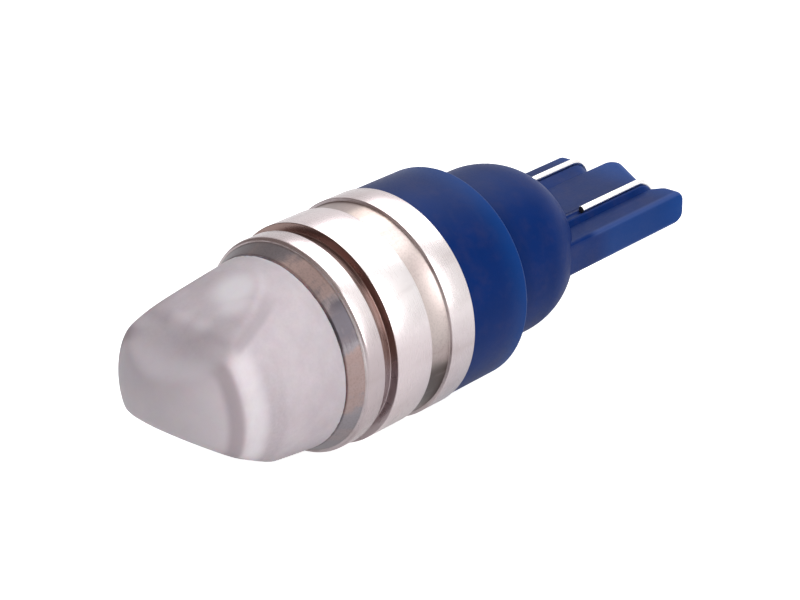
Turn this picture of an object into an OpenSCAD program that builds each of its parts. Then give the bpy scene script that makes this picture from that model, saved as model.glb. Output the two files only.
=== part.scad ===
// Wedge base LED bulb for a car lamp, lying on its side.
// The bulb's axis is Y: the lens points to -Y and the wedge blade to +Y.
// The blade's broad faces look to +Z and -Z. The origin lies on the axis,
// in the plane where the metal sleeve meets the plastic base.

/* [Base] */
// Width of the driver board, from which the bulb's diameters follow
driver_w = 7.8; // [7:0.1:8.6]
// Wall of the collar outside the sleeve's spigot
collar_wall = 0.9; // [0.7:0.05:1.1]
// Length of the collar along the axis
collar_len = 4.8; // [3.5:0.05:6]
// Radius that rounds the collar's rear edge
collar_edge_r = 0.3; // [0.1:0.05:0.6]
// Wall of the neck outside the driver board
neck_wall = 1.4; // [1.2:0.05:1.6]
// Length of the neck's straight part behind the collar
neck_len = 3.75; // [3:0.05:6]
// Length of the rounded end of the neck
dome_len = 5.15; // [4:0.05:7]
// How far the room for the driver board reaches into the base
room_len = 9.0; // [8:0.1:10]

/* [Wedge blade] */
// Width of the blade
blade_w = 9.5; // [8.5:0.1:10.2]
// Thickness of the blade at its flanges
blade_t = 2.14; // [1.8:0.02:2.6]
// Distance from the base's front plane to the end of the flanges
blade_end = 22.2; // [20:0.1:24]
// Width of the tongue between the wires
tongue_w = 3.32; // [2.6:0.02:3.8]
// Thickness of the tongue
tongue_t = 2.24; // [1.8:0.02:2.8]
// How far the middle of the tongue's slanted end reaches past the flanges
tongue_out = 0.5; // [0:0.1:1]
// Angle of the tongue's slanted end
tongue_slant_a = 32; // [0:1:36]
// Radius of the corner at the tongue's tip
tongue_corner_r = 0.4; // [0.2:0.05:0.8]
// Radius of the blade's long edges
blade_edge_r = 0.3; // [0.1:0.05:0.5]
// Radius of the outer corners at the flanges' ends
flange_corner_r = 0.5; // [0.3:0.05:0.9]
// Radius that rounds the blade's end from face to face
blade_end_r = 0.85; // [0.2:0.05:0.9]
// Width of the slanted corner between a flange's end and its rail
flange_slant = 0.85; // [0.3:0.05:1]
// Depth of that corner along the axis
flange_notch = 1.0; // [0.4:0.05:1.2]
// Height of the rails that carry the wires, over the tongue's face
rail_h = 0.33; // [0.1:0.01:0.5]
// Width of a rail's crest
rail_crest_w = 0.64; // [0.5:0.02:0.9]
// Width of a rail's sloping inner side
rail_slope_w = 0.62; // [0.3:0.02:0.7]
// Width of a rail's steep outer side
rail_back_w = 0.18; // [0.1:0.02:0.4]

/* [Contact wires] */
// Diameter of a contact wire
wire_d = 0.46; // [0.35:0.01:0.5]
// Distance between the two wires, centre to centre
wire_pitch = 5.26; // [4.8:0.02:5.6]
// Height of a wire's centre over the blade's middle plane
wire_z = 1.58; // [1.45:0.01:1.75]
// Place of the bend round the blade's end
wire_bend_y = 19.8; // [18:0.1:20.4]
// Place of the wire's cut end
wire_cut_y = 14.2; // [13.6:0.1:17]
// Gap between a wire and its groove
wire_gap = 0.02; // [0:0.01:0.06]
// Length of wire that lies on the driver board
wire_tail = 1.6; // [1:0.1:2.4]

/* [Metal sleeve] */
// Gap between the driver board and the sleeve's bore
throat_gap = 0.5; // [0.3:0.05:0.7]
// Width of the ledge that the LED board lies on
board_ledge = 1.0; // [0.7:0.05:1.3]
// Wall between the lens's seat and the deep groove
seat_wall = 0.55; // [0.4:0.05:0.8]
// Depth of the narrow groove
deep_depth = 0.55; // [0.3:0.05:0.8]
// Depth of the wide shallow groove
shallow_depth = 0.2; // [0.1:0.05:0.5]
// How far the rings stand out over the middle band
ring_step = 0.1; // [0:0.02:0.3]
// Width of the rear ring
rear_ring_w = 1.88; // [1:0.02:2.4]
// Width of the shallow groove
shallow_w = 1.55; // [0.8:0.05:2]
// Width of the middle band
band_w = 2.76; // [2:0.02:4]
// Width of the narrow groove
deep_w = 0.8; // [0.4:0.05:1.2]
// Width of the front ring
front_ring_w = 1.3; // [0.9:0.05:2]
// How much lower the front ring is than the middle band
front_ring_drop = 0.2; // [0.1:0.05:0.4]
// Radius that rounds the front ring
front_ring_r = 0.25; // [0.1:0.05:0.5]
// Chamfer of the bands' edges
band_edge = 0.12; // [0.05:0.01:0.2]
// Length of the conical lip before the front ring
lip_len = 0.95; // [0.4:0.05:1.4]
// Height of that cone
lip_rise = 0.4; // [0.2:0.05:0.5]
// Length of the spigot inside the base
spigot_len = 2.5; // [1.5:0.1:3]

/* [Lens] */
// Width of the lens's rim that lies on the sleeve's front face
lens_rim = 0.25; // [0.15:0.01:0.3]
// How much the lens tapers on each side towards its front shoulder
lens_taper = 0.75; // [0.4:0.05:0.9]
// Width of the chamfer at the front shoulder
shoulder_step = 0.7; // [0.3:0.05:0.8]
// Distance from the base's front plane to the lens's front shoulder
lens_shoulder_y = 16.1; // [14:0.1:17]
// Distance from the base's front plane to the lens's tip
lens_tip_y = 18.1; // [17.5:0.1:21]
// Wall of the lens
lens_wall = 1.0; // [0.8:0.05:1.2]
// Angle of the upper flat against the axis
upper_flat_a = 20; // [14:1:26]
// Height of the upper flat at the front shoulder
upper_flat_z = 3.5; // [3:0.05:4.2]
// Angle of the lower flat against the axis
lower_flat_a = 31; // [22:1:36]
// Depth of the lower flat at the front shoulder
lower_flat_z = 2.3; // [1.7:0.05:3]

/* [LED board] */
// Thickness of the LED board
led_board_t = 1.0; // [0.8:0.1:1.6]
// Number of LEDs
led_count = 3; // [2:1:3]
// Width of an LED package
led_w = 2.2; // [1.9:0.1:2.4]
// Height of an LED package
led_h = 0.8; // [0.6:0.05:1]
// Gap between an LED and the lens's skirt
led_margin = 0.35; // [0.25:0.05:0.5]
// Diameter of the phosphor window of an LED
window_d = 1.7; // [1.4:0.1:1.8]
// Depth of that window
window_depth = 0.5; // [0.3:0.05:0.6]

/* [Driver board] */
// Thickness of the driver board
driver_t = 0.8; // [0.6:0.1:1]
// Depth to which each edge of the board enters its slot in the base
driver_slot = 0.35; // [0.2:0.05:0.5]
// Gap between the board and its slot
driver_gap = 0.05; // [0.03:0.01:0.1]
// Diameter of a link pin
pin_d = 0.5; // [0.4:0.05:0.6]
// Distance of a link pin from the driver board's edge
pin_edge = 1.0; // [0.8:0.05:1.2]
// Length of a pin that lies on the driver board
pin_tail = 2.4; // [1.5:0.1:3]
// How far a pin stands out of the LED board
pin_out = 0.5; // [0.3:0.1:0.7]

/* [Driver parts] */
// Length of the rectifier
rectifier_l = 3.4; // [3:0.1:4]
// Width of the rectifier's and the driver chip's bodies
chip_w = 3.0; // [2.6:0.1:3.2]
// Height of these bodies
chip_h = 1.2; // [0.9:0.1:1.4]
// Length of the driver chip
driver_chip_l = 4.2; // [3.6:0.1:4.8]
// Length of the chips' leads
lead_l = 0.5; // [0.3:0.05:0.6]
// Width of a lead
lead_w = 0.4; // [0.3:0.02:0.5]
// Distance between the leads
lead_pitch = 1.1; // [0.9:0.05:1.2]
// Length of the capacitor
capacitor_l = 2.8; // [2:0.1:3.2]
// Width of the capacitor and the resistors
small_w = 1.5; // [1.2:0.05:1.6]
// Length of a resistor
resistor_l = 2.4; // [2:0.1:2.8]
// Height of a resistor
resistor_h = 0.6; // [0.4:0.05:0.7]
// Space between the parts along the board
part_gap = 0.4; // [0.3:0.05:0.6]

/* [Hidden] */

$fn = 64;
arc_steps = 10;
fit = 0.05;
over = 1;

// diameters, from the driver board outwards
throat_r = driver_w / 2 + throat_gap;
seat_r = throat_r + board_ledge;
deep_r = seat_r + seat_wall;
band_r = deep_r + deep_depth;
shallow_r = band_r - shallow_depth;
ring_r = band_r + ring_step;
front_ring_or = band_r - front_ring_drop;
collar_r = band_r;
spigot_r = collar_r - collar_wall;
neck_r = driver_w / 2 + neck_wall;
room_r = driver_w / 2 - driver_slot;
lens_r = seat_r + lens_rim;
lens_front_r = lens_r - lens_taper;
dome_y = collar_len + neck_len;

// stations of the sleeve, counted towards the lens
ring_y = -rear_ring_w;
shallow_y = ring_y - shallow_w;
band_y = shallow_y - band_w;
deep_y = band_y - deep_w;
front_y = deep_y - front_ring_w;
lip_y = front_y - lip_len;

// the LED board lies on the sleeve's inner shoulder, and the lens presses on it
board_back_y = -4.6;
board_front_y = board_back_y - led_board_t;
board_r = seat_r - 2 * fit;

driver_front_y = board_back_y + fit;
driver_rear_y = room_len - fit;
pin_x = driver_w / 2 - pin_edge;
pin_z = driver_t / 2 + pin_d / 2;
led_r = seat_r - fit - lens_wall - led_margin - led_w / 2;
chip_y = driver_front_y + pin_tail + part_gap;
wire_on_board_z = driver_t / 2 + wire_d / 2 + fit;
wire_x = wire_pitch / 2;
rail_top_z = tongue_t / 2 + rail_h;
rail_foot_x = wire_x + rail_crest_w / 2 + rail_back_w;

// where the dome's surface lies under a wire
wire_share = (wire_x * wire_x + wire_z * wire_z) / (neck_r * neck_r);
dome_wire_y = dome_y + dome_len * sqrt(1 - wire_share);

function arc(cx, cy, rx, ry, a0, a1) =
    [for (i = [0:arc_steps]) let (a = a0 + (a1 - a0) * i / arc_steps) [cx + rx * cos(a), cy + ry * sin(a)]];

// turns a profile of [radius, station] points about the bulb's axis
module turned(points, sides = 96) {
    rotate([-90, 0, 0]) rotate_extrude($fn = sides) polygon(points);
}

module rod_y(r, y0, y1, sides = 96) {
    translate([0, y0, 0]) rotate([-90, 0, 0]) cylinder(r = r, h = y1 - y0, $fn = sides);
}

// a bar along X whose section is drawn in [y, z]
module bar_x(x0, x1) {
    translate([x0, 0, 0]) rotate([90, 0, 90]) linear_extrude(x1 - x0) children();
}

module box(x0, x1, y0, y1, z0, z1) {
    translate([x0, y0, z0]) cube([x1 - x0, y1 - y0, z1 - z0]);
}

// Base: collar, neck, rounded end and wedge blade, moulded in one piece

module base_barrel() {
    turned(concat(
        [[0, 0], [collar_r, 0]],
        arc(collar_r - collar_edge_r, collar_len - collar_edge_r, collar_edge_r, collar_edge_r, 0, 90),
        [[neck_r, collar_len]],
        arc(0, dome_y, neck_r, dome_len, 0, 90)));
}

// side view of a bar, in [y, z]: its end is rounded towards both faces
module side(thickness, y_end) {
    r = blade_end_r;
    translate([dome_y, -thickness / 2]) square([y_end - r - dome_y, thickness]);
    translate([y_end - 2 * r, r - thickness / 2]) square([2 * r, thickness - 2 * r]);
    for (s = [-1, 1]) translate([y_end - r, s * (thickness / 2 - r)]) circle(r, $fn = 48);
}

// the tongue's end is slanted in plan: a rounded bar, turned by the slant, cuts it
module tongue() {
    half = tongue_w / 2;
    a = tongue_slant_a;
    r = tongue_corner_r;
    // distance of the slanted end from the bulb's axis point, square to the slant
    reach = (blade_end + tongue_out) * cos(a);
    tip_x = r - half;
    tip_y = (reach - 0.9 * r - tip_x * sin(a)) / cos(a);
    intersection() {
        rotate([0, 0, -a]) bar_x(-blade_end, blade_end) tongue_side(reach);
        translate([0, 0, -tongue_t]) linear_extrude(2 * tongue_t) {
            polygon([[-half, dome_y], [half, dome_y], [half, blade_end + tongue_out],
                [tip_x, tip_y], [-half, tip_y]]);
            translate([tip_x, tip_y]) circle(r, $fn = 48);
            polygon([[tip_x, tip_y], [tip_x + r * sin(a), tip_y + r * cos(a)],
                [half, blade_end + tongue_out]]);
        }
    }
}

module tongue_side(reach) {
    r = blade_end_r;
    translate([-over, -tongue_t / 2]) square([reach - r + over, tongue_t]);
    translate([reach - 2 * r, r - tongue_t / 2]) square([2 * r, tongue_t - 2 * r]);
    for (s = [-1, 1]) translate([reach - r, s * (tongue_t / 2 - r)]) circle(r, $fn = 48);
}

// a flange: round outer corner, slanted inner corner, round long edges
module flange() {
    inner = rail_foot_x;
    outer = blade_w / 2;
    corner = flange_corner_r;
    notch_y = blade_end - flange_notch;
    root_y = wire_bend_y + blade_t / 2 - fit;
    intersection() {
        bar_x(wire_x, outer) side(blade_t, blade_end);
        translate([0, 0, -blade_t]) linear_extrude(2 * blade_t) {
            polygon([[wire_x, dome_y], [outer, dome_y], [outer, blade_end - corner],
                [outer - corner, blade_end], [inner + flange_slant, blade_end],
                [inner, notch_y], [inner, root_y], [wire_x, root_y]]);
            translate([outer - corner, blade_end - corner]) circle(corner, $fn = 32);
        }
        rotate([-90, 0, 0]) linear_extrude(blade_end + over) {
            square([blade_w - 2 * blade_edge_r, blade_t], center = true);
            square([blade_w, blade_t - 2 * blade_edge_r], center = true);
            for (sx = [-1, 1], sz = [-1, 1])
                translate([sx * (outer - blade_edge_r), sz * (blade_t / 2 - blade_edge_r)])
                    circle(blade_edge_r, $fn = 24);
        }
    }
}

// half section of a rail in [distance from the middle plane, x]
function rail_points() = let (
    crest0 = wire_x - rail_crest_w / 2, crest1 = wire_x + rail_crest_w / 2)
    [[0, tongue_w / 2 - over / 2], [tongue_t / 2, tongue_w / 2 - over / 2],
     [tongue_t / 2, crest0 - rail_slope_w], [rail_top_z, crest0], [rail_top_z, crest1],
     [blade_t / 2, rail_foot_x], [0, rail_foot_x]];

module rail() {
    half = rail_points();
    // straight length, upper and lower half
    for (s = [1, -1])
        translate([0, dome_y, 0]) rotate([-90, 0, 0]) linear_extrude(wire_bend_y - dome_y)
            polygon([for (p = half) [p[1], -s * p[0]]]);
    // the rail turns over the blade's end about an axis along X
    translate([0, wire_bend_y, 0]) rotate([0, 90, 0]) rotate_extrude($fn = 64) polygon(half);
}

// a half torus about an axis along X at the blade's end, open to -Y
module end_bend(r) {
    translate([wire_x, wire_bend_y, 0]) rotate([0, 90, 0]) rotate_extrude(angle = 180, $fn = 64)
        translate([wire_z, 0]) circle(r, $fn = 24);
}

// room for a wire of radius r: along both faces of the blade and round its end
module wire_run(r, y_low, y_high) {
    translate([wire_x, 0, -wire_z]) rod_y(r, y_low, wire_bend_y, 24);
    translate([wire_x, 0, wire_z]) rod_y(r, y_high, wire_bend_y, 24);
    end_bend(r);
}

module wire_groove() {
    wire_run(wire_d / 2 + wire_gap, room_len - over, dome_wire_y - 0.3);
}

module base() {
    color("royalblue") difference() {
        union() {
            base_barrel();
            tongue();
            for (turn = [0, 180]) rotate([0, turn, 0]) {
                flange();
                rail();
            }
        }
        rod_y(spigot_r + fit / 2, -over, spigot_len + fit);
        rod_y(room_r, 0, room_len);
        box(-driver_w / 2 - driver_gap, driver_w / 2 + driver_gap, 0, room_len,
            -driver_t / 2 - driver_gap, driver_t / 2 + driver_gap);
        for (turn = [0, 180]) rotate([0, turn, 0]) wire_groove();
    }
}

// Contact wire: from the driver board through the neck, along the blade,
// over its end and back along the other face

// the wire steps down inside the base, in two bends, to the board's face
step_r = (wire_z - wire_on_board_z) / 2;
step_y1 = room_len - 3 * wire_d;
step_y0 = step_y1 - 2 * step_r;
solder_w = 2 * wire_d;
solder_h = wire_d + 3 * fit;

// a bend that starts at the origin, leaves it towards +Y and turns to -Z
module elbow() {
    translate([0, 0, -step_r]) rotate([0, 90, 0]) rotate([0, 0, 90])
        rotate_extrude(angle = 90, $fn = 48) translate([step_r, 0]) circle(wire_d / 2, $fn = 24);
}

module contact_wire() {
    r = wire_d / 2;
    color("gainsboro") {
        wire_run(r, step_y1, wire_cut_y);
        translate([wire_x, 0, -wire_on_board_z]) rod_y(r, step_y0 - wire_tail, step_y0, 24);
        translate([wire_x, step_y0, -wire_on_board_z]) elbow();
        translate([wire_x, step_y1, -wire_z]) rotate([180, 0, 0]) elbow();
    }
}

module contact_wire_right() contact_wire();

module contact_wire_left() rotate([0, 180, 0]) contact_wire();

// Sleeve: turned metal, with the lens's seat in front and a spigot behind

module sleeve() {
    e = band_edge;
    color("silver") turned(concat(
        [[spigot_r, spigot_len], [spigot_r, 0], [ring_r - e, 0], [ring_r, -e],
         [ring_r, ring_y + e], [ring_r - e, ring_y], [shallow_r, ring_y],
         [shallow_r, shallow_y], [band_r - e, shallow_y], [band_r, shallow_y - e],
         [band_r, band_y + e], [band_r - e, band_y], [deep_r, band_y],
         [deep_r, deep_y], [front_ring_or - e, deep_y], [front_ring_or, deep_y - e]],
        arc(front_ring_or - front_ring_r, front_y + front_ring_r, front_ring_r, front_ring_r, 0, -90),
        [[lens_r + lip_rise, front_y], [lens_r, lip_y], [seat_r, lip_y],
         [seat_r, board_back_y], [throat_r, board_back_y], [throat_r, spigot_len]]));
}

// Lens: a moulded cap with a round body, a domed front and two flats
// that form a chisel nose

// inset is 0 for the outside and the wall for the inside
module lens_form(inset) {
    r0 = lens_r - inset;
    r1 = lens_front_r - inset;
    cap_r = r1 - shoulder_step;
    cap_y = -lens_shoulder_y - shoulder_step + inset / 3;
    tip = lens_tip_y - inset + cap_y;
    ball_r = (cap_r * cap_r + tip * tip) / (2 * tip);
    ball_y = cap_y - tip + ball_r;
    half = asin(cap_r / ball_r);
    far = lens_tip_y;
    difference() {
        turned(concat(
            [[0, lip_y], [r0, lip_y], [r1, -lens_shoulder_y + inset / 3]],
            arc(0, ball_y, ball_r, ball_r, half - 90, -90)));
        translate([0, -lens_shoulder_y, upper_flat_z]) rotate([upper_flat_a, 0, 0])
            translate([0, 0, -inset]) box(-far, far, -far, far, 0, far);
        translate([0, -lens_shoulder_y, -lower_flat_z]) rotate([-lower_flat_a, 0, 0])
            translate([0, 0, inset]) box(-far, far, -far, far, -far, 0);
    }
}

module lens() {
    skirt_y = board_front_y;
    color("thistle") difference() {
        union() {
            lens_form(0);
            rod_y(seat_r - fit, lip_y - fit, skirt_y);
        }
        lens_form(lens_wall);
        rod_y(seat_r - fit - lens_wall, lip_y - fit, skirt_y + over);
    }
}

// LED board with its LEDs

module led_board() {
    color("white") difference() {
        rod_y(board_r, board_front_y, board_back_y);
        for (s = [1, -1]) translate([s * pin_x, 0, pin_z])
            rod_y(pin_d / 2 + fit, board_front_y - over, board_back_y + over, 24);
    }
}

module led_place(i) {
    a = 90 + i * 360 / led_count;
    translate([led_r * cos(a), board_front_y, led_r * sin(a)]) rotate([0, 90 - a, 0]) children();
}

module led_package(i) {
    color("ivory") led_place(i) difference() {
        box(-led_w / 2, led_w / 2, -led_h, 0, -led_w / 2, led_w / 2);
        rod_y(window_d / 2, -led_h - over, window_depth - led_h, 32);
    }
}

module led_phosphor(i) {
    color("gold") led_place(i) rod_y(window_d / 2, -led_h, window_depth - led_h, 32);
}

module led_package_1() led_package(0);
module led_package_2() led_package(1);
module led_package_3() led_package(2);
module led_phosphor_1() led_phosphor(0);
module led_phosphor_2() led_phosphor(1);
module led_phosphor_3() led_phosphor(2);

// Driver board in the slots of the base, with its parts

module driver_board() {
    color("seagreen")
        box(-driver_w / 2, driver_w / 2, driver_front_y, driver_rear_y, -driver_t / 2, driver_t / 2);
}

// a flat body on the board, centred on x and starting at y: side is 1 for the
// upper face and -1 for the lower
module chip(x, y, sx, sy, h, side) {
    face = side * driver_t / 2;
    translate([x - sx / 2, y, side > 0 ? face : face - h]) cube([sx, sy, h]);
}

// a chip's body with a row of leads on each long side
module leaded_chip(y, length, rows, side) {
    color("dimgray") chip(0, y, chip_w, length, chip_h, side);
    for (s = [-1, 1], i = [0:rows - 1])
        color("silver") chip(s * (chip_w + lead_l) / 2,
            y + (length - lead_w) / 2 + (i - (rows - 1) / 2) * lead_pitch, lead_l, lead_w, chip_h / 4, side);
}

module capacitor() color("tan") chip(0, chip_y, small_w, capacitor_l, chip_h * 0.8, 1);

module rectifier() leaded_chip(chip_y + capacitor_l + part_gap, rectifier_l, 2, 1);

module resistor(x) color("dimgray") chip(x, chip_y, small_w, resistor_l, resistor_h, -1);

module resistor_1() resistor(-small_w / 2 - part_gap / 2);
module resistor_2() resistor(small_w / 2 + part_gap / 2);

module driver_chip() leaded_chip(chip_y + resistor_l + part_gap, driver_chip_l, 4, -1);

module link_pin(s) {
    color("gold") translate([s * pin_x, 0, pin_z])
        rod_y(pin_d / 2, board_front_y - pin_out, driver_front_y + pin_tail, 24);
}

module link_pin_right() link_pin(1);
module link_pin_left() link_pin(-1);

// Solder: a flat mound over each wire on the driver board and a cone
// round each pin on the LED board

module contact_solder() {
    color("lightgray") difference() {
        translate([wire_x, step_y0 - wire_d / 2, -driver_t / 2]) rotate([90, 0, 0])
            linear_extrude(wire_tail - 2 * wire_d)
                polygon([[-solder_w / 2, 0], [solder_w / 2, 0], [solder_w / 3, -solder_h],
                    [-solder_w / 3, -solder_h]]);
        contact_wire();
    }
}

module contact_solder_right() contact_solder();
module contact_solder_left() rotate([0, 180, 0]) contact_solder();

module link_solder(s) {
    h = pin_out - 0.1;
    color("lightgray") difference() {
        translate([s * pin_x, board_front_y - h, pin_z]) rotate([-90, 0, 0])
            cylinder(r1 = pin_d / 2 + 0.05, r2 = pin_d / 2 + 0.3, h = h, $fn = 32);
        link_pin(s);
    }
}

module link_solder_right() link_solder(1);
module link_solder_left() link_solder(-1);

base();
contact_wire_right();
contact_wire_left();
sleeve();
lens();
led_board();
led_package_1();
led_package_2();
led_package_3();
led_phosphor_1();
led_phosphor_2();
led_phosphor_3();
driver_board();
rectifier();
driver_chip();
capacitor();
resistor_1();
resistor_2();
link_pin_right();
link_pin_left();
contact_solder_right();
contact_solder_left();
link_solder_right();
link_solder_left();
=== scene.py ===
# %% [markdown]
# An LED bulb for a small car lamp lies on its side. It has a frosted lens with a chisel nose, a
# bright plated sleeve and a blue plastic base that ends in a flat wedge with two contact wires.
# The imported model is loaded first, because every piece made here is drawn in its frame, stands
# for one of its nodes and moves with its body. Sizes are written in millimetres.

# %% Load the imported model
from math import cos, pi, radians, sin, sqrt

import bmesh
import bpy
from mathutils import Matrix, Vector


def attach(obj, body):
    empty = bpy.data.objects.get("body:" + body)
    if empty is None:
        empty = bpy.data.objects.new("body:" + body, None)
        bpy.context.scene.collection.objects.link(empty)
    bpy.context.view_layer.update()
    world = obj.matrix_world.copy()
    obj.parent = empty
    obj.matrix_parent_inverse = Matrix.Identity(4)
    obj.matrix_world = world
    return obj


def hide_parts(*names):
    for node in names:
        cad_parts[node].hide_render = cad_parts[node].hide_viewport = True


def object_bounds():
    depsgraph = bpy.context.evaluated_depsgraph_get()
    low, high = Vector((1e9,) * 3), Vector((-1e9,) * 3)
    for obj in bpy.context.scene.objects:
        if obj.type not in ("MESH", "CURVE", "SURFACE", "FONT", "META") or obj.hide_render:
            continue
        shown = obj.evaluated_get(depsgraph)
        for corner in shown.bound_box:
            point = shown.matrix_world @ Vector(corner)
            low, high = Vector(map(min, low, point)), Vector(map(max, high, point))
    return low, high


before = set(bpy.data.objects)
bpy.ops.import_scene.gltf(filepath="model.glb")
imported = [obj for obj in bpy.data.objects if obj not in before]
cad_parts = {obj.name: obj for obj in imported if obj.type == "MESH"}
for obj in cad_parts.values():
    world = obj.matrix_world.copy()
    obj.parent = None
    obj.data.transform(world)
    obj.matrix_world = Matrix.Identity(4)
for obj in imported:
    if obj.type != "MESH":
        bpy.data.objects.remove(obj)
cad_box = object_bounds()
MM = 0.001
print("nodes:", len(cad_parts), "box:", cad_box)

# %% [markdown]
# The photograph is taken from the lens's side, a little above the bulb, with a long lens that
# hardly narrows it towards the wedge. The camera could be aimed with a tracking constraint, but
# that keeps it level. It is placed with a direction and an up vector instead, so that the small
# roll of the picture is kept too.

# %% Place the camera
eye = Vector((82.3, -86.7, 55.65)) * MM
ahead = Vector((-0.6202, 0.6607, -0.4229)).normalized()
picture_up = Vector((-0.273, 0.3236, 0.906))
right = ahead.cross(picture_up).normalized()
camera = bpy.data.objects.new("camera", bpy.data.cameras.new("camera"))
bpy.context.scene.collection.objects.link(camera)
turn = Matrix((right, right.cross(ahead), -ahead)).transposed().to_4x4()
camera.matrix_world = Matrix.Translation(eye) @ turn
camera.data.sensor_width = 36
camera.data.lens = 103.5
camera.data.clip_start = 5 * MM
bpy.context.scene.camera = camera
print("camera distance:", round(eye.length / MM), "mm, lens:", camera.data.lens)

# %% [markdown]
# A material could be wired node by node, which takes a long list of links. Here it is written as
# sums in Python, which read like the finish they describe. The small class Knob holds one socket
# of a shader, and adding or multiplying two knobs places the Math node that does it.

# %% Write shader maths in Python
class Knob:
    def __init__(self, finish, socket):
        self.finish, self.socket = finish, socket

    def maths(self, work, *values):
        return self.finish.add("ShaderNodeMath", {"operation": work}, dict(enumerate(values)))

    def __add__(self, other):
        return self.maths("ADD", self, other)

    def __sub__(self, other):
        return self.maths("SUBTRACT", self, other)

    def __rsub__(self, other):
        return self.maths("SUBTRACT", other, self)

    def __mul__(self, other):
        return self.maths("MULTIPLY", self, other)

    __radd__ = __add__
    __rmul__ = __mul__

    def at_least(self, other):
        return self.maths("MAXIMUM", self, other)

    def size(self):
        return self.maths("ABSOLUTE", self)

    def step(self, low, high):
        """0 below low, 1 above high and smooth between them."""
        settings = {"interpolation_type": "SMOOTHSTEP"}
        return self.finish.add("ShaderNodeMapRange", settings, {0: self, 1: low, 2: high})

    def rise(self, low, high):
        """The same step between two places on an axis, given in millimetres."""
        return self.step(low * MM, high * MM)

    def bell(self, start, end, soft):
        """1 between two places in millimetres, falling to 0 within the soft width outside."""
        return self.rise(start - soft, start) * (1 - self.rise(end, end + soft))


class Finish:
    """One material: place is the point on the piece in metres, skin the shader it ends in."""

    def __init__(self, name):
        self.material = bpy.data.materials.new(name)
        self.material.use_nodes = True
        self.nodes = self.material.node_tree.nodes
        self.links = self.material.node_tree.links
        self.skin = self.nodes["Principled BSDF"]
        self.place = Knob(self, self.nodes.new("ShaderNodeTexCoord").outputs["Object"])

    def put(self, socket, value):
        if isinstance(value, Knob):
            self.links.new(value.socket, socket)
        elif hasattr(socket.default_value, "__len__") and len(socket.default_value) == 4:
            socket.default_value = (*value, 1) if len(value) == 3 else value
        else:
            socket.default_value = value

    def add(self, kind, settings=None, values=None, out=0):
        node = self.nodes.new(kind)
        for key, value in (settings or {}).items():
            setattr(node, key, value)
        for key, value in (values or {}).items():
            self.put(node.inputs[key], value)
        return Knob(self, node.outputs[out])

    def axis(self, letter):
        return self.add("ShaderNodeSeparateXYZ", None, {0: self.place}, out="XYZ".index(letter))

    def noise(self, size, detail=2.0, rough=0.5, place=None):
        """Soft patches of a size given in millimetres."""
        values = {"Vector": place or self.place, "Scale": 1 / (size * MM)}
        values.update({"Detail": detail, "Roughness": rough})
        return self.add("ShaderNodeTexNoise", None, values)

    def stretch(self, x, y, z):
        """The place scaled along each axis: a small number draws a pattern out that way."""
        return self.add("ShaderNodeMapping", None, {"Vector": self.place, "Scale": (x, y, z)})

    def blend(self, share, low, high):
        settings = {"data_type": "RGBA"}
        return self.add("ShaderNodeMix", settings, {0: share, 6: low, 7: high}, out=2)

    def spot(self, centre, radius, soft):
        """1 near a point given in millimetres, falling softly to 0 round it."""
        values = {0: self.place, 1: tuple(v * MM for v in centre)}
        gap = self.add("ShaderNodeVectorMath", {"operation": "DISTANCE"}, values, out="Value")
        return 1 - gap.rise(radius, radius + soft)

    def bump(self, height, depth, strength):
        """Relief of a depth given in millimetres."""
        values = {"Strength": strength, "Distance": depth * MM, "Height": height}
        return self.add("ShaderNodeBump", None, values)

    def wear(self, **sockets):
        for name, value in sockets.items():
            self.put(self.skin.inputs[name.replace("_", " ")], value)
        return self.material


# %% [markdown]
# The studio is plain, with a white floor. The floor could be lit until it is white, but that would
# bleach the bulb as well. So it glows, fully for the camera and by a quarter in reflections and
# through the lens. A fuller glow there would turn the blue undersides grey.

# %% Build the floor
floor_gap, floor_width, floor_glow, mirrored_share = 0.02 * MM, 4, 0.85, 0.25
bpy.ops.object.select_all(action="DESELECT")
floor_place = (0, 0, cad_box[0][2] - floor_gap)
bpy.ops.mesh.primitive_plane_add(size=floor_width, location=floor_place)
floor = bpy.context.object
floor.name = "floor"
pale = Finish("pale_floor")
pale.wear(Base_Color=(0.8, 0.8, 0.8), Roughness=0.9, Specular_IOR_Level=0.0)
matt = Knob(pale, pale.skin.outputs[0])
glow = pale.add("ShaderNodeEmission", None, {"Color": (1, 1, 1), "Strength": floor_glow})
glowing = pale.add("ShaderNodeAddShader", None, {0: glow, 1: matt})
ray = pale.add("ShaderNodeLightPath").socket.node.outputs
mirrored = Knob(pale, ray["Is Glossy Ray"]).at_least(Knob(pale, ray["Is Transmission Ray"]))
shown = Knob(pale, ray["Is Camera Ray"]).at_least(mirrored * mirrored_share)
floor_shader = pale.add("ShaderNodeMixShader", None, {0: shown, 1: matt, 2: glowing})
pale.links.new(floor_shader.socket, pale.nodes["Material Output"].inputs["Surface"])
floor.data.materials.append(pale.material)
print("floor:", floor_width, "m wide")

# %% [markdown]
# The world is white to the camera and through the lens. White all round would leave the plating
# without any form, so reflections see a dim warm room on the camera's side, and white only beyond
# the bulb. A third background, dimmer and nearly neutral, lights the bulb from everywhere.

# %% Surround the bulb with a room
world = bpy.data.worlds.new("studio")
world.use_nodes = True
bpy.context.scene.world = world
world_nodes, world_links = world.node_tree.nodes, world.node_tree.links
white_begins = 0.55


def backdrop(strength, colour):
    node = world_nodes.new("ShaderNodeBackground")
    node.inputs["Color"].default_value = (*colour, 1)
    node.inputs["Strength"].default_value = strength
    return node.outputs[0]


def mixed(share, first, second):
    node = world_nodes.new("ShaderNodeMixShader")
    for socket, link in zip(node.inputs, (share, first, second)):
        world_links.new(link, socket)
    return node.outputs[0]


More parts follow.
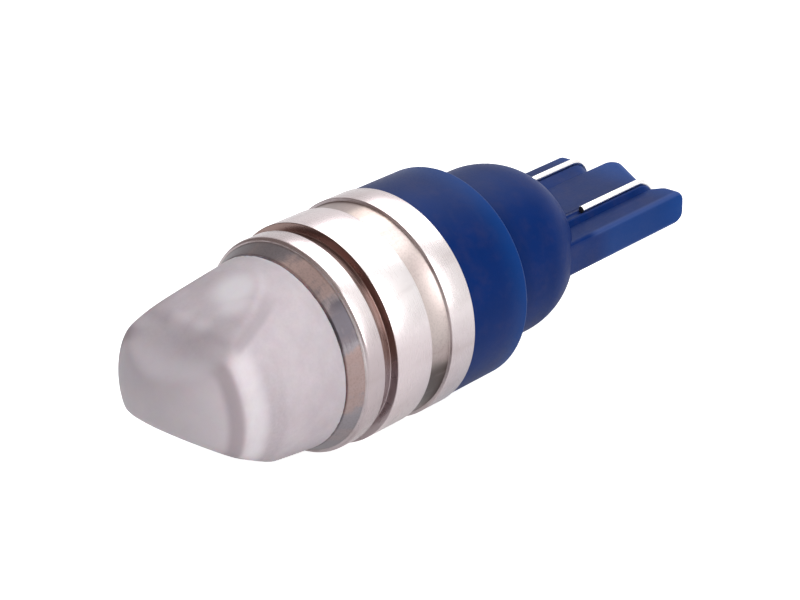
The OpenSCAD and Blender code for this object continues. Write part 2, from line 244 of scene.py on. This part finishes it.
rays = world_nodes.new("ShaderNodeLightPath").outputs
direction = world_nodes.new("ShaderNodeSeparateXYZ")
world_links.new(world_nodes.new("ShaderNodeTexCoord").outputs["Generated"], direction.inputs[0])
beyond = world_nodes.new("ShaderNodeMapRange")
beyond.interpolation_type = "SMOOTHSTEP"
beyond.inputs[1].default_value, beyond.inputs[2].default_value = 0.0, white_begins
world_links.new(direction.outputs["Y"], beyond.inputs[0])
white = backdrop(1, (1, 1, 1))
warm_room = backdrop(0.5, (0.6, 0.5, 0.47))
even_light = backdrop(0.35, (0.95, 0.96, 1))
reflected = mixed(beyond.outputs[0], warm_room, white)
dressed = mixed(rays["Is Glossy Ray"], even_light, reflected)
dressed = mixed(rays["Is Transmission Ray"], dressed, white)
dressed = mixed(rays["Is Camera Ray"], dressed, white)
world_links.new(dressed, world_nodes["World Output"].inputs["Surface"])
print("world nodes:", len(world_nodes))

# %% [markdown]
# Two wide soft lamps, one from the right and one from above and behind, give the barrel its long
# lights. A small lamp would draw hard spots on the plating that the photograph doesn't have.

# %% Hang the lamps
def softbox(name, place, size, power):
    data = bpy.data.lights.new(name, "AREA")
    data.size, data.energy = size, power
    lamp = bpy.data.objects.new(name, data)
    lamp.location = place
    lamp.rotation_euler = (-Vector(place)).to_track_quat("-Z", "Y").to_euler()
    bpy.context.scene.collection.objects.link(lamp)
    print(name, "power:", power, "W")


softbox("lamp_right", (0.33, 0.04, 0.18), 0.3, 1.2)
softbox("lamp_above", (-0.06, 0.2, 0.32), 0.34, 1.0)
bpy.context.scene.view_settings.view_transform = "Standard"

# %% [markdown]
# Every new piece is lofted: rings of points, all with the same count, are joined by faces from one
# to the next. A primitive that is extruded and scaled by hand gives the same form where each ring
# is only a larger or smaller copy of the last. On the blade every corner of a ring moves on its
# own, so the rings are worked out in Python, and one way is used for all the pieces.

# %% Loft rings of points into a piece
def only(piece):
    bpy.ops.object.select_all(action="DESELECT")
    piece.select_set(True)
    bpy.context.view_layer.objects.active = piece


def apply(piece, kind, **settings):
    only(piece)
    modifier = piece.modifiers.new(kind.lower(), kind)
    for key, value in settings.items():
        setattr(modifier, key, value)
    bpy.ops.object.modifier_apply(modifier=modifier.name)
    return piece


def loft(name, rings, closed=False):
    """Rings hold points in millimetres. A closed loft returns to its first ring."""
    mesh = bmesh.new()
    rows = [[mesh.verts.new(Vector(point) * MM) for point in ring] for ring in rings]
    if not closed:
        mesh.faces.new(rows[0])
        mesh.faces.new(rows[-1])
    count = len(rows[0])
    for row, after in zip(rows, rows[1:] + (rows[:1] if closed else [])):
        for k in range(count):
            mesh.faces.new((row[k - 1], row[k], after[k], after[k - 1]))
    bmesh.ops.recalc_face_normals(mesh, faces=mesh.faces)
    piece = bpy.data.objects.new(name, bpy.data.meshes.new(name))
    mesh.to_mesh(piece.data)
    mesh.free()
    bpy.context.scene.collection.objects.link(piece)
    return piece


def turned(name, stations, sides=160, closed=False):
    """A loft of circles along the axis. Stations are (radius, y)."""
    spokes = [(cos(2 * pi * k / sides), sin(2 * pi * k / sides)) for k in range(sides)]
    return loft(name, [[(r * c, y, r * s) for c, s in spokes] for r, y in stations], closed)


def arc(radius, start, end, steps):
    """Points of an arc between two angles in degrees."""
    angles = [radians(start + (end - start) * k / steps) for k in range(steps + 1)]
    return [(radius * cos(a), radius * sin(a)) for a in angles]


def settle(piece, *nodes, angle=30):
    """Shade the piece, let it ride on the bulb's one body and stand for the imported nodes."""
    only(piece)
    bpy.ops.object.shade_smooth_by_angle(angle=radians(angle))
    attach(piece, "root")
    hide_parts(*nodes)
    print(piece.name, "faces:", len(piece.data.polygons))
    return piece


# %% [markdown]
# The sleeve is one turned tube of plated metal. From the base forwards it has a wide ring, a
# shallow groove, the middle band, a narrow deep groove, the rounded front ring and a conical lip
# round the lens. Its bore has a ledge for the LED board and a spigot that enters the base. Tubes
# joined end to end would look much the same from outside, but one closed line carried round the
# axis gives one skin, as the lathe does. A fine bevel then gives every edge its thread of light.

# %% Turn the sleeve
ring_r, band_r, shallow_r, deep_r, front_r = 6.6, 6.5, 6.3, 5.95, 6.3
spigot_r, throat_r, seat_r, lens_r = 5.6, 4.4, 5.4, 5.65
front_edge_r, edge_bevel = 0.25, 0.07
sleeve_line = [
    (spigot_r, 2.5), (spigot_r, 0),            # the spigot in the base
    (ring_r, 0), (ring_r, -1.88),              # the rear ring
    (shallow_r + 0.08, -1.9), (shallow_r, -3.41),
    (band_r, -3.43), (band_r, -6.19),
    (deep_r, -6.2), (deep_r, -6.98),
    (front_r, -6.99)]
sleeve_line += [(front_r - front_edge_r + r, -8.04 + y) for r, y in arc(front_edge_r, 0, -90, 8)]
sleeve_line += [
    (lens_r + 0.02, -9.22), (seat_r, -9.24),   # the lip's end
    (seat_r, -4.6), (throat_r, -4.6),          # the ledge for the LED board
    (throat_r, 2.5)]
sleeve = turned("sleeve_plated", sleeve_line, closed=True)
apply(sleeve, "BEVEL", width=edge_bevel * MM, segments=3, limit_method="ANGLE",
      angle_limit=radians(35))
settle(sleeve, "sleeve")

# %% [markdown]
# The base is one plastic moulding. Its barrel is a collar with a rounded edge, a straight neck and
# a dome. The dome could be half a ball set on the neck, but the real one is a little flatter. So it
# is half an ellipsoid, turned in one line with the rest, and a tiny disc closes its pole.

# %% Mould the barrel of the base
collar_r, collar_length, collar_edge_r, neck_r = 6.5, 4.8, 0.3, 5.3
dome_start, dome_length = 8.55, 5.15
pole_r = 0.05
edge_start = collar_length - collar_edge_r
barrel_line = [(pole_r, 0), (collar_r, 0)]
barrel_line += [(collar_r - collar_edge_r + r, edge_start + y)
                for r, y in arc(collar_edge_r, 0, 90, 6)]
barrel_line += [(neck_r, collar_length)]
barrel_line += [(neck_r * r, dome_start + dome_length * y) for r, y in arc(1, 0, 88, 30)]
base = turned("base_blue", barrel_line)
print("barrel faces:", len(base.data.polygons))

# %% [markdown]
# The blade is built from its parts, which are then joined to the barrel with booleans. The tongue
# in the middle ends in a slant with a round nose and one round corner. A box with a bevel would
# round every edge alike. So each ring is a slice at one place of the width, with the nose's place
# worked out for it.

# %% Shape the tongue
half_tongue, tongue_face, nose_r = 1.66, 1.12, 0.75
slant, tip_r, tip_reach = radians(32), 0.4, 22.7
inside = dome_start + 1


def join_with(piece, other, how="UNION"):
    apply(piece, "BOOLEAN", operation=how, solver="EXACT", object=other)
    bpy.data.objects.remove(other)
    return piece


def tongue_end(x):
    """Where the middle of the tongue's end lies at x: a small round corner, then the slant."""
    middle_x = tip_r - half_tongue
    reach = tip_reach * cos(slant)
    if x > middle_x + tip_r * sin(slant):
        return (reach - x * sin(slant)) / cos(slant)
    middle_y = (reach - tip_r - middle_x * sin(slant)) / cos(slant)
    return middle_y + sqrt(max(tip_r ** 2 - (x - middle_x) ** 2, 0))


def nose(x, end, face, radius, long):
    """A slice at x: a flat bar from inside the dome to a round end."""
    bow = [(end + (y - radius) * long, z) for z, y in arc(radius, 0, 90, 10)]
    upper = [(x, y, z + face - radius) for y, z in bow]
    lower = [(x, y, -z) for x, y, z in upper]
    return [(x, inside, -face)] + lower + upper[::-1] + [(x, inside, face)]


slices = [-half_tongue + tip_r * (1 - cos(radians(a))) for a in range(0, 91, 9)]
slices += [x / 20 for x in range(-24, 33, 4)] + [half_tongue]
tongue = loft("tongue", [nose(x, tongue_end(x), tongue_face, nose_r, 1 / cos(slant))
                         for x in slices])
join_with(base, tongue)
print("slices of the tongue:", len(slices))

# %% [markdown]
# A flange is the thick bar along each side of the blade. Its section shrinks towards the end, so
# that the end is round in both directions, which one bevel of a box can't give. Its inner corner
# is cut at a slant, where the wire turns over the blade's end.

# %% Shape a flange
blade_half, flange_face, flange_tip, rail_foot = 4.75, 1.07, 22.1, 3.13
edge_r, end_r, corner_r = 0.3, 0.95, 0.4
cut_start, cut_slope = 20.6, 0.73


def flange():
    rings = []
    ends = [flange_tip - end_r + y for x, y in arc(end_r, 0, 90, 16)]
    for y in [inside, cut_start - 0.05, cut_start] + ends:
        bow = max(y - (flange_tip - end_r), 0)
        thick = flange_face - end_r + sqrt(max(end_r ** 2 - bow ** 2, 0))
        turn = max(y - (flange_tip - corner_r), 0)
        outer = blade_half - corner_r + sqrt(max(corner_r ** 2 - turn ** 2, 0))
        inner = rail_foot - 0.02 + max(y - cut_start, 0) * cut_slope
        r = min(edge_r, thick * 0.95)
        side = [(outer - r + x, thick - r + z) for x, z in arc(r, 90, 0, 6)]
        under = [(x, -z) for x, z in reversed(side)]
        section = [(inner, thick)] + side + under + [(inner, -thick)]
        rings.append([(x, y, z) for x, z in section])
    return loft("flange", rings)


# %% [markdown]
# Under each wire a rail stands up from the blade. Its section has a slope towards the tongue, a
# narrow crest and a steep back. It runs along one face, turns round the end and comes back. A
# curve with a bevel shape could do that too. Carrying the section round in Python keeps its foot
# on the faces of the tongue and the flange, because their sizes are used in it.

# %% Shape a rail
wire_x, wire_z, bend_y = 2.63, 1.58, 19.8
rail_top, crest_half, slope_width, rail_bottom = 1.45, 0.32, 0.62, 0.02


def along_blade(points, start, end, steps=24):
    """Carry points (x, height over the blade's middle) round the blade from start to end."""
    rings = [[(x, start, -h) for x, h in points]]
    for k in range(steps + 1):
        a = pi * k / steps
        rings.append([(x, bend_y + h * sin(a), -h * cos(a)) for x, h in points])
    return rings + [[(x, end, h) for x, h in points]]


def rail():
    crest0, crest1 = wire_x - crest_half, wire_x + crest_half
    points = [
        (crest0 - 1.0, rail_bottom), (crest0 - 1.0, 1.1),            # inside the tongue
        (crest0 - slope_width, tongue_face - 0.01),                  # the foot of the slope
        (crest0 - 0.06, rail_top - 0.03), (crest0 + 0.04, rail_top),
        (crest1 - 0.05, rail_top), (crest1 + 0.03, rail_top - 0.05),
        (rail_foot, flange_face - 0.01), (rail_foot, rail_bottom)]   # the back on the flange
    return loft("rail", along_blade(points, inside, inside))


# %% [markdown]
# Flange and rail are made for one side of the blade, and the second pair is given half a turn
# about the bulb's axis. A mirror would serve them as well, but not the wires, whose cut ends lie
# on opposite faces. So the half turn is used for all of them.

# %% Join the flanges and the rails to the base
def as_made(piece):
    return piece


def half_turn(piece):
    piece.data.transform(Matrix.Rotation(pi, 4, "Y"))
    return piece


for place in (as_made, half_turn):
    join_with(base, place(flange()))
    join_with(base, place(rail()))
print("base box:", [round(v / MM, 2) for v in base.dimensions])

# %% [markdown]
# Each contact wire is a round wire that comes out of the dome on one face, goes round the blade's
# end and comes back along the other face to its cut end. It could be a curve with a thickness. A
# circle carried along the route with the rail's own helper follows the rail exactly. The wire
# lies in a groove of the dome, which a slightly thicker copy cuts, so the grooves come first.

# %% Cut the grooves for the wires
wire_r, groove_gap = 0.21, 0.04
groove_start, groove_end = 9.5, 12.4


def wire(name, radius, start, end):
    points = [(wire_x + x, wire_z + h) for x, h in arc(radius, 0, 348.75, 31)]
    return loft(name, along_blade(points, start, end, 32))


for place in (as_made, half_turn):
    groove = place(wire("groove", wire_r + groove_gap, groove_start, groove_end))
    join_with(base, groove, "DIFFERENCE")
print("base faces with its grooves:", len(base.data.polygons))

# %% [markdown]
# The base is hollow towards the sleeve: a wide hole takes the sleeve's spigot, a narrower room
# behind it the driver board, which stands in a slot on each side. Solidify could hollow the base
# with an even wall, but the real walls differ, so the hollow is turned and cut out.

# %% Hollow the base
hole_r, room_r, room_start, room_end = 5.625, 3.55, -1, 9
slot_x, slot_z = 3.95, 0.45


def block(name, x0, x1, y0, y1, z0, z1):
    return loft(name, [[(x0, y, z0), (x1, y, z0), (x1, y, z1), (x0, y, z1)] for y in (y0, y1)])


room_line = [(hole_r, room_start), (hole_r, 2.55), (room_r, 2.56), (room_r, room_end)]
join_with(base, turned("room", room_line), "DIFFERENCE")
slot = block("slot", -slot_x, slot_x, room_start, room_end, -slot_z, slot_z)
join_with(base, slot, "DIFFERENCE")
settle(base, "base")

# %% [markdown]
# The wires themselves start inside the base and end at their cut faces, one on each face of the
# blade. A hair-fine bevel takes the sharp edge off the cut, as the cutter leaves it.

# %% Bend the contact wires
wire_start, wire_cut_y, cut_bevel = 8.5, 14.35, 0.03
wire_right = wire("contact_wire_bright_right", wire_r, wire_start, wire_cut_y)
wire_left = half_turn(wire("contact_wire_bright_left", wire_r, wire_start, wire_cut_y))
for piece, node in ((wire_right, "contact_wire_right"), (wire_left, "contact_wire_left")):
    apply(piece, "BEVEL", width=cut_bevel * MM, segments=2, limit_method="ANGLE",
          angle_limit=radians(60))
    settle(piece, node)

# %% [markdown]
# The lens is a moulded cap of frosted plastic. Its round body narrows towards a soft shoulder,
# then a shallow dome closes it. Two flats cut the dome to a chisel nose, and the upper one bends
# down once more before it meets the dome. The flats could be cut by bisecting the cap. Blocks
# taken away with booleans do the same and close the cut at once. The outside and the hollow are
# made by the same steps, the hollow a wall's width inside.

# %% Mould the lens
shoulder_y, tip_y, lens_wall, lens_taper, shoulder_step = 16.1, 18.1, 1.0, 0.75, 0.7
lens_back, skirt_end, bore_end = -9.4, -5.6, -5
upper_flat_z, upper_flat_a = 3.5, 20
knife_reach = 20
# each flat: its distance ahead, its height there, its slant in degrees, and 1 above or -1 below
flats = ((shoulder_y, upper_flat_z, upper_flat_a, 1), (15, 3.9, 38, 1), (shoulder_y, 2.3, 31, -1))


def lens_form(name, wall):
    r0, r1 = lens_r - wall, lens_r - lens_taper - wall
    cap_r, cap_y = r1 - shoulder_step, shoulder_y + shoulder_step - wall / 3
    rise = tip_y - wall - cap_y
    ball = (cap_r ** 2 + rise ** 2) / (2 * rise)
    line = [(r0, -9.25), (r1, -shoulder_y + wall / 3), (cap_r, -cap_y)]
    steps = [cap_r * (1 - k / 12) for k in range(1, 12)] + [pole_r]
    line += [(r, -(cap_y + rise - ball + sqrt(ball ** 2 - r ** 2))) for r in steps]
    piece = turned(name, line, sides=128)
    for start, height, tilt, sign in flats:
        knife = block("knife", -knife_reach, knife_reach, -knife_reach, knife_reach, 0, knife_reach)
        spin = Matrix.Rotation(radians(tilt), 4, "X")
        move = Matrix.Translation(Vector((0, -start, height)) * MM)
        inset = Matrix.Translation((0, 0, -wall * MM))
        knife.data.transform(move @ spin @ inset)
        if sign < 0:
            knife.data.transform(Matrix.Scale(-1, 4, (0, 0, 1)))
            knife.data.flip_normals()
        join_with(piece, knife, "DIFFERENCE")
    return piece


lens = lens_form("lens_frosted", 0)
skirt_r = seat_r - 0.05
join_with(lens, turned("skirt", [(skirt_r, lens_back), (skirt_r, skirt_end)]))
join_with(lens, lens_form("hollow", lens_wall), "DIFFERENCE")
bore_r = seat_r - 1.05
join_with(lens, turned("bore", [(bore_r, lens_back), (bore_r, bore_end)]), "DIFFERENCE")
print("lens faces before it is softened:", len(lens.data.polygons))

# %% [markdown]
# Moulded plastic has no sharp edge. A bevel easily breaks where cut faces meet at a flat angle, so
# the mesh is rebuilt from small cubes and smoothed. The front is smoothed much more than the rim,
# through a group of points whose weight grows forwards, so the rim keeps its fit.

# %% Soften the lens
cube_size, rim_rounds, front_rounds = 0.12, 5, 75
soft_start, soft_width = 11.5, 3
apply(lens, "REMESH", mode="VOXEL", voxel_size=cube_size * MM)
apply(lens, "SMOOTH", factor=0.5, iterations=rim_rounds)
front = lens.vertex_groups.new(name="front")
for point in lens.data.vertices:
    weight = min(max(-point.co.y / MM - soft_start, 0) / soft_width, 1)
    front.add([point.index], weight, "REPLACE")
apply(lens, "SMOOTH", factor=0.5, iterations=front_rounds, vertex_group="front")
settle(lens, "lens", angle=60)

# %% [markdown]
# Satin blue plastic: a deep blue with faint clouds, dull specks and a fine moulded grain. The thin
# end of the blade is painted a brighter blue, as painted light coming through it. The flanges'
# sides are painted a brighter blue as painted light, the collar's rim and the flanges' rounded long
# edges carry painted highlights, and the neck next to the collar is painted darker as painted
# shade. That could be left to the lamps, but it would then show from one side only, so it is
# painted by its place on the base. The plastic's own gloss is low and tinted blue, because a white
# gloss turns a dark blue grey.

# %% Colour the base
def dress(piece, *finishes):
    piece.data.materials.clear()
    for finish in finishes:
        piece.data.materials.append(finish)
    print(piece.name, "wears", ", ".join(finish.name for finish in finishes))


blue = Finish("satin_blue_plastic")
cloud = blue.noise(2.5, detail=3)
grain = blue.noise(0.12, detail=2)
dust = blue.noise(1.4, detail=5, rough=0.65)
along = blue.axis("Y")
out, up = blue.axis("X").size(), blue.axis("Z").size()
tone = blue.blend(cloud, (0.0005, 0.012, 0.078), (0.001, 0.017, 0.112))
tone = blue.blend(dust.step(0.42, 0.72) * 0.4, tone, (0.02, 0.024, 0.085))
# Painted light: the blade's end is a brighter blue, for light coming through the thin plastic.
tone = blue.blend(along.rise(19, 22.6) * 0.9, tone, (0.002, 0.04, 0.2))
# Painted light: the flanges' outer sides are a brighter blue.
side_painted_light = out.rise(4.6, 4.72) * along.rise(13, 15)
tone = blue.blend(side_painted_light * 0.6, tone, (0.001, 0.035, 0.17))
# Painted highlight along the flanges' rounded long edges.
edge_painted_highlight = out.rise(4.4, 4.6) * up.rise(0.75, 0.95) * along.rise(12.5, 13.5)
tone = blue.blend(edge_painted_highlight * 0.6, tone, (0.05, 0.08, 0.22))
# Painted highlight on the collar, brightest towards its rear rim.
collar_rim_highlight = along.rise(2.6, 4.7) * (1 - along.rise(4.8, 4.82))
tone = blue.blend(collar_rim_highlight * 0.7, tone, (0.002, 0.036, 0.17))
# Painted shade on the neck next to the collar.
neck_shade = along.bell(4.83, 5.2, 2.0) * (1 - collar_rim_highlight)
tone = blue.blend(neck_shade * 0.5, tone, (0.0005, 0.008, 0.055))
blue.wear(
    Base_Color=tone,
    Roughness=0.4 + grain * 0.12,
    Normal=blue.bump(grain, 0.01, 0.25),
    Specular_IOR_Level=0.1,
    Specular_Tint=(0.06, 0.3, 0.9))
dress(base, blue.material)

# %% [markdown]
# The sleeve's plating is bright, satin and slightly warm, with fine rings from the lathe. Each
# turned surface carries painted reflections of its own, a full tone in the middle that turns grey
# pink towards its top and underside. The shallow groove and the lip are rougher. The deep groove
# carries a brown painted shade, and the shallow groove a warm painted glint near its top and a dark
# painted band near its underside. The lip round the lens is brushed, with painted slate grey, tan
# and dark reflections in patches round it. One even metal would be simpler, but all of its belts
# would then mirror the same room alike. So the painted reflections and shade are chosen by the
# place along the axis, belt by belt.

# %% Plate the sleeve
plate = Finish("bright_plating")
along, level = plate.axis("Y"), plate.axis("Z") * 0.8 - plate.axis("X") * 0.6
lathe = plate.noise(0.045, place=plate.stretch(0.03, 1, 0.03))
haze = plate.noise(3, detail=3)
grit = plate.noise(0.11, detail=3)
streak = plate.noise(1.1, detail=4, place=plate.stretch(1, 0.25, 1))


def painted_reflection_grade(edge, middle, low=-0.4, high=1.4):
    """Painted reflection: the full tone in the middle, grey pink towards the top and the underside.
    """
    return plate.blend(level.bell(low, high, 3.4), edge, middle)


# Painted reflection on the rear ring and the spigot, which no belt covers.
tone = painted_reflection_grade((0.55, 0.48, 0.49), (0.72, 0.66, 0.66), -1.5, 1.5)
# Painted reflections on the lip: slate grey, tan patches above and below, and a dark band across
# the middle.
lip_reflection_level = level + (streak - 0.5) * 3.2 * MM + (lathe - 0.5) * 0.8 * MM
lip_painted_reflections = plate.blend(lip_reflection_level.bell(-4.2, -2.6, 0.7), (0.28, 0.26, 0.28), (0.36, 0.265, 0.25))
lip_painted_reflections = plate.blend(lip_reflection_level.bell(1.9, 3.6, 0.7), lip_painted_reflections, (0.56, 0.43, 0.405))
lip_painted_reflections = plate.blend(lip_reflection_level.bell(-1.2, 0.6, 0.8), lip_painted_reflections, (0.13, 0.12, 0.14))
# Painted brown shade in the deep groove.
deep_groove_painted_shade = plate.blend(level.bell(-9, -4.2, 1.4), (0.32, 0.22, 0.2), (0.42, 0.35, 0.36))
# Painted reflection in the shallow groove, with a warm painted glint near its top and a dark
# painted band near its underside.
shallow_painted_glint_and_shade = painted_reflection_grade((0.3, 0.25, 0.24), (0.5, 0.43, 0.41), -2.5, 1.5)
shallow_painted_glint_and_shade = plate.blend(level.bell(3.9, 4.4, 0.9) * 0.8, shallow_painted_glint_and_shade, (0.82, 0.69, 0.6))
shallow_painted_glint_and_shade = plate.blend(level.bell(-5.9, -5.1, 0.9) * 0.9, shallow_painted_glint_and_shade, (0.06, 0.045, 0.04))
# Painted reflections on the middle band and the front ring.
band_painted_reflection = painted_reflection_grade((0.62, 0.54, 0.55), (0.79, 0.74, 0.74))
front_ring_painted_reflection = painted_reflection_grade((0.48, 0.41, 0.42), (0.8, 0.73, 0.73), 0.4, 1.8)
# each belt: where it starts and ends along the axis in millimetres, and its tone with painted
# reflections or painted shade
belts = (
    (-3.42, -1.9, shallow_painted_glint_and_shade),
    (-6.17, -3.43, band_painted_reflection),
    (-7.0, -6.16, deep_groove_painted_shade),
    (-8.26, -7.0, front_ring_painted_reflection),
    (-9.3, -8.3, lip_painted_reflections))
for start, end, belt_tone in belts:
    tone = plate.blend(along.bell(start + 0.02, end - 0.02, 0.03), tone, belt_tone)
dull = along.bell(-3.4, -1.9, 0.03).at_least(along.bell(-9.3, -8.3, 0.03))
tone = plate.blend(streak.step(0.45, 0.8) * (0.35 + dull * 0.45), tone, (0.38, 0.3, 0.29))
tone = plate.blend(dull * grit.step(0.42, 0.72) * 0.2, tone, (0.12, 0.09, 0.09))
plate.wear(
    Base_Color=tone,
    Metallic=1.0,
    Roughness=0.2 + lathe * 0.1 + haze * 0.06 + dull * 0.12,
    Normal=plate.bump(lathe, 0.005, 0.25))
dress(sleeve, plate.material)

# %% [markdown]
# The wires are drawn and tinned, so they are brighter than the sleeve, with a grain that runs along
# them. Their cut ends are painted nearly black, as painted shade. A separate disc could carry that
# colour, but giving the end faces a second material adds no piece.

# %% Tin the wires
tin = Finish("tinned_wire")
drawn = tin.noise(0.06, place=tin.stretch(1, 0.05, 1))
tin.wear(Base_Color=(0.95, 0.93, 0.92), Metallic=1.0, Roughness=0.16 + drawn * 0.12)
# Painted shade: the cut ends are nearly black.
cut = Finish("cut_wire_end")
burr = cut.noise(0.05)
cut.wear(Base_Color=cut.blend(burr, (0.02, 0.018, 0.02), (0.06, 0.055, 0.055)), Roughness=0.6)
cut_face_y = (wire_cut_y + 0.015) * MM
for piece, upwards in ((wire_right, 1), (wire_left, -1)):
    dress(piece, tin.material, cut.material)
    for face in piece.data.polygons:
        face.material_index = int(face.center.y < cut_face_y and face.center.z * upwards > 0)

# %% [markdown]
# The lens is cloudy plastic with a frosted skin. Light enters it and spreads, so that it is part
# see-through and part milky. Its soft lights and darks are painted into its colour as painted light
# and painted shade: a pale band behind the shoulder with a dark crease before it, dark along the
# edge of the upper flat, a pale round patch and a faint line of light on that flat, a paler nose, a
# soft glow at the front of the near side and a shaded band round the lower body. Real refraction
# through the hollow behind the skin would need a second, exact inner form that can't be seen in the
# photograph, so these are painted as tones on the skin.

# %% Frost the lens
frost = Finish("frosted_lens")
cloud = frost.noise(2.2, detail=3)
grain = frost.noise(0.15, detail=2)
veil = frost.noise(1.1, detail=5, rough=0.6)
across, along, height = frost.axis("X"), frost.axis("Y"), frost.axis("Z")
away = across.size()
low_side = 1 - height.rise(2.6, 4.4)
# Painted highlights and painted shade on the skin: pale bands and patches, dark creases.
crest_highlight = along.bell(-15.5, -15.1, 0.9) * low_side * (0.55 + veil * 0.6) * away.rise(1, 3)
crease_shade = along.bell(-16.5, -16.2, 0.35) * low_side * away.rise(2.4, 4.2)
flat_rise, flat_run = cos(radians(upper_flat_a)), sin(radians(upper_flat_a))
over_flat = (height - upper_flat_z * MM) * flat_rise - (along + shoulder_y * MM) * flat_run
bead_highlight_tail = frost.spot((1.2, -12.9, 4.6), 0.3, 1.2) * 0.8
bead_highlight = frost.spot((0.4, -12.1, 4.9), 0.5, 1.5).at_least(bead_highlight_tail)
glow = frost.spot((2.6, -16.9, 2.4), 0.3, 1.5)
ridge_highlight_end = frost.spot((0.6, -15, 3.9), 0.1, 0.9)
ridge_highlight = frost.spot((-0.9, -15, 3.9), 0.1, 1.0).at_least(ridge_highlight_end)
shade = along.bell(-14.1, -13.6, 0.6) * (1 - height.rise(0, 3.4)) * (0.4 + grain)
flat_edge_shade = over_flat.bell(-0.4, -0.25, 0.25) * height.rise(2.4, 3.6)
flat_edge_shade = flat_edge_shade * along.rise(-15.6, -14.9) * (1 - along.rise(-12.5, -10.8))
nose_light = 1 - along.rise(-17.2, -15.8)
lights = (crest_highlight * 0.75).at_least(bead_highlight).at_least(ridge_highlight * 0.45)
darks = (crease_shade * 0.65).at_least(flat_edge_shade * 0.5).at_least(shade * 0.3)
tone = frost.blend(cloud * 0.6 + veil * 0.4, (0.47, 0.4, 0.44), (0.76, 0.69, 0.72))
tone = frost.blend(grain * 0.35, tone, (0.45, 0.38, 0.41))
tone = frost.blend(nose_light * 0.6, tone, (0.86, 0.79, 0.83))
tone = frost.blend(lights * 0.85, tone, (0.9, 0.84, 0.87))
tone = frost.blend(glow * 0.5, tone, (0.8, 0.73, 0.77))
tone = frost.blend(darks, tone, (0.34, 0.28, 0.31))
frost.wear(
    Base_Color=tone,
    Roughness=0.5 + grain * 0.15,
    Normal=frost.bump(grain, 0.01, 0.3),
    Transmission_Weight=0.25,
    Subsurface_Weight=0.3,
    Subsurface_Scale=2 * MM)
dress(lens, frost.material)

# %% [markdown]
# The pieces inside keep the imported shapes, since the frosted lens hides their form. They could
# stay plain for the same reason, but an opened bulb would show them, so each kind still gets the
# finish of the real one.

# %% Finish the inner pieces
def inner_finish(name, low, high, rough, metal=0.0, size=0.4):
    finish = Finish(name)
    patch = finish.noise(size, detail=3)
    return finish.wear(
        Base_Color=finish.blend(patch, low, high), Metallic=metal,
        Roughness=rough + patch * 0.1, Normal=finish.bump(patch, 0.01, 0.2))


kinds = {
    "led_board": inner_finish("white_solder_mask", (0.8, 0.8, 0.77), (0.86, 0.86, 0.83), 0.35),
    "led_package": inner_finish("led_housing", (0.82, 0.8, 0.72), (0.88, 0.86, 0.8), 0.4),
    "led_phosphor": inner_finish(
        "phosphor_gel", (0.85, 0.62, 0.1), (0.9, 0.7, 0.16), 0.3, size=0.08),
    "driver_board": inner_finish(
        "green_board", (0.015, 0.1, 0.035), (0.03, 0.15, 0.05), 0.35, size=0.8),
    "rectifier": inner_finish("chip_body", (0.012, 0.012, 0.013), (0.025, 0.025, 0.027), 0.55),
    "capacitor": inner_finish("ceramic_body", (0.3, 0.2, 0.1), (0.38, 0.26, 0.14), 0.5),
    "link_pin": inner_finish(
        "gilded_pin", (0.8, 0.55, 0.2), (0.88, 0.66, 0.3), 0.22, metal=1.0),
    "solder": inner_finish("solder", (0.6, 0.61, 0.63), (0.72, 0.73, 0.75), 0.25, metal=1.0),
}
same = {"driver_chip": "rectifier", "resistor": "rectifier",
        "contact_solder": "solder", "link_solder": "solder"}
for name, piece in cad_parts.items():
    kind = next((k for k in (*kinds, *same) if name.startswith(k)), None)
    if kind:
        dress(piece, kinds[same.get(kind, kind)])
